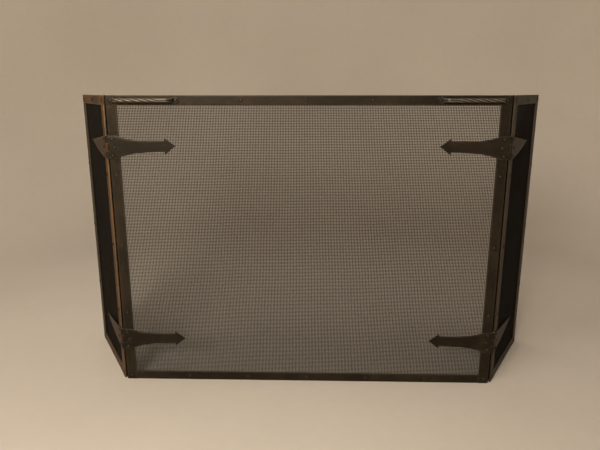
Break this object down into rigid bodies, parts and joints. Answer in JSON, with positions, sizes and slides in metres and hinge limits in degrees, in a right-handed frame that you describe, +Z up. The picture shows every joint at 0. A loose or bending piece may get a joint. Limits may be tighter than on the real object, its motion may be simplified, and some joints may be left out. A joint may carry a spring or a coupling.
{
  "type": "fireplace screen",
  "caption": "Folding fireplace screen: a wide centre panel and two swinging side wings of riveted flat iron bar over woven wire cloth, with strap hinges and twisted-bar handles.",
  "frame": {"origin": "on the floor under the middle of the screen's box as it stands, wings swung back", "axes": "+X to the right along the centre panel seen from its front, +Y from the front to the back, +Z up"},
  "size_m": [1.217, 0.2738, 0.706],
  "materials": {
    "frame_iron": "dark hammered iron with a brown patina",
    "worn_iron": "dark iron worn to a warm rusty brown",
    "strap_iron": "dark hammered iron",
    "leaf_iron": "dark iron worn to a warm rusty brown",
    "handle_iron": "dark iron, polished by hands along its ridges",
    "rivet_iron": "dark peened iron",
    "wire_cloth": "blackened steel wire, plain weave",
    "pin_steel": "dull dark steel"
  },
  "bodies": {
    "center_panel": {"center_top_rail": "frame_iron", "center_bottom_rail": "frame_iron", "center_left_stile": "frame_iron", "center_right_stile": "frame_iron", "center_back_top_strip": "frame_iron", "center_back_bottom_strip": "frame_iron", "center_back_left_strip": "frame_iron", "center_back_right_strip": "frame_iron", "center_mesh": "wire_cloth", "center_rivets": "rivet_iron", "left_handle": "handle_iron", "right_handle": "handle_iron", "handle_rivets": "rivet_iron", "upper_left_strap": "strap_iron", "lower_left_strap": "strap_iron", "upper_right_strap": "strap_iron", "lower_right_strap": "strap_iron", "strap_rivets": "rivet_iron", "upper_left_pin": "pin_steel", "lower_left_pin": "pin_steel", "upper_right_pin": "pin_steel", "lower_right_pin": "pin_steel"},
    "left_wing": {"left_wing_top_rail": "worn_iron", "left_wing_bottom_rail": "worn_iron", "left_wing_hinge_stile": "frame_iron", "left_wing_outer_stile": "frame_iron", "left_wing_back_top_strip": "frame_iron", "left_wing_back_bottom_strip": "frame_iron", "left_wing_back_hinge_strip": "frame_iron", "left_wing_back_outer_strip": "frame_iron", "left_wing_mesh": "wire_cloth", "left_wing_rivets": "rivet_iron", "upper_left_leaf": "leaf_iron", "lower_left_leaf": "leaf_iron", "left_leaf_rivets": "rivet_iron"},
    "right_wing": {"right_wing_top_rail": "worn_iron", "right_wing_bottom_rail": "worn_iron", "right_wing_hinge_stile": "frame_iron", "right_wing_outer_stile": "frame_iron", "right_wing_back_top_strip": "frame_iron", "right_wing_back_bottom_strip": "frame_iron", "right_wing_back_hinge_strip": "frame_iron", "right_wing_back_outer_strip": "frame_iron", "right_wing_mesh": "wire_cloth", "right_wing_rivets": "rivet_iron", "upper_right_leaf": "leaf_iron", "lower_right_leaf": "leaf_iron", "right_leaf_rivets": "rivet_iron"}
  },
  "joints": [
    {"name": "left_wing_hinge", "type": "hinge", "parent": "center_panel", "child": "left_wing", "pos_m": [-0.4613, -0.10967, 0.353], "axis": [0, 0, 1], "range_deg": [-2, 149]},
    {"name": "right_wing_hinge", "type": "hinge", "parent": "center_panel", "child": "right_wing", "pos_m": [0.4613, -0.10967, 0.353], "axis": [0, 0, -1], "range_deg": [-2, 149]}
  ]
}
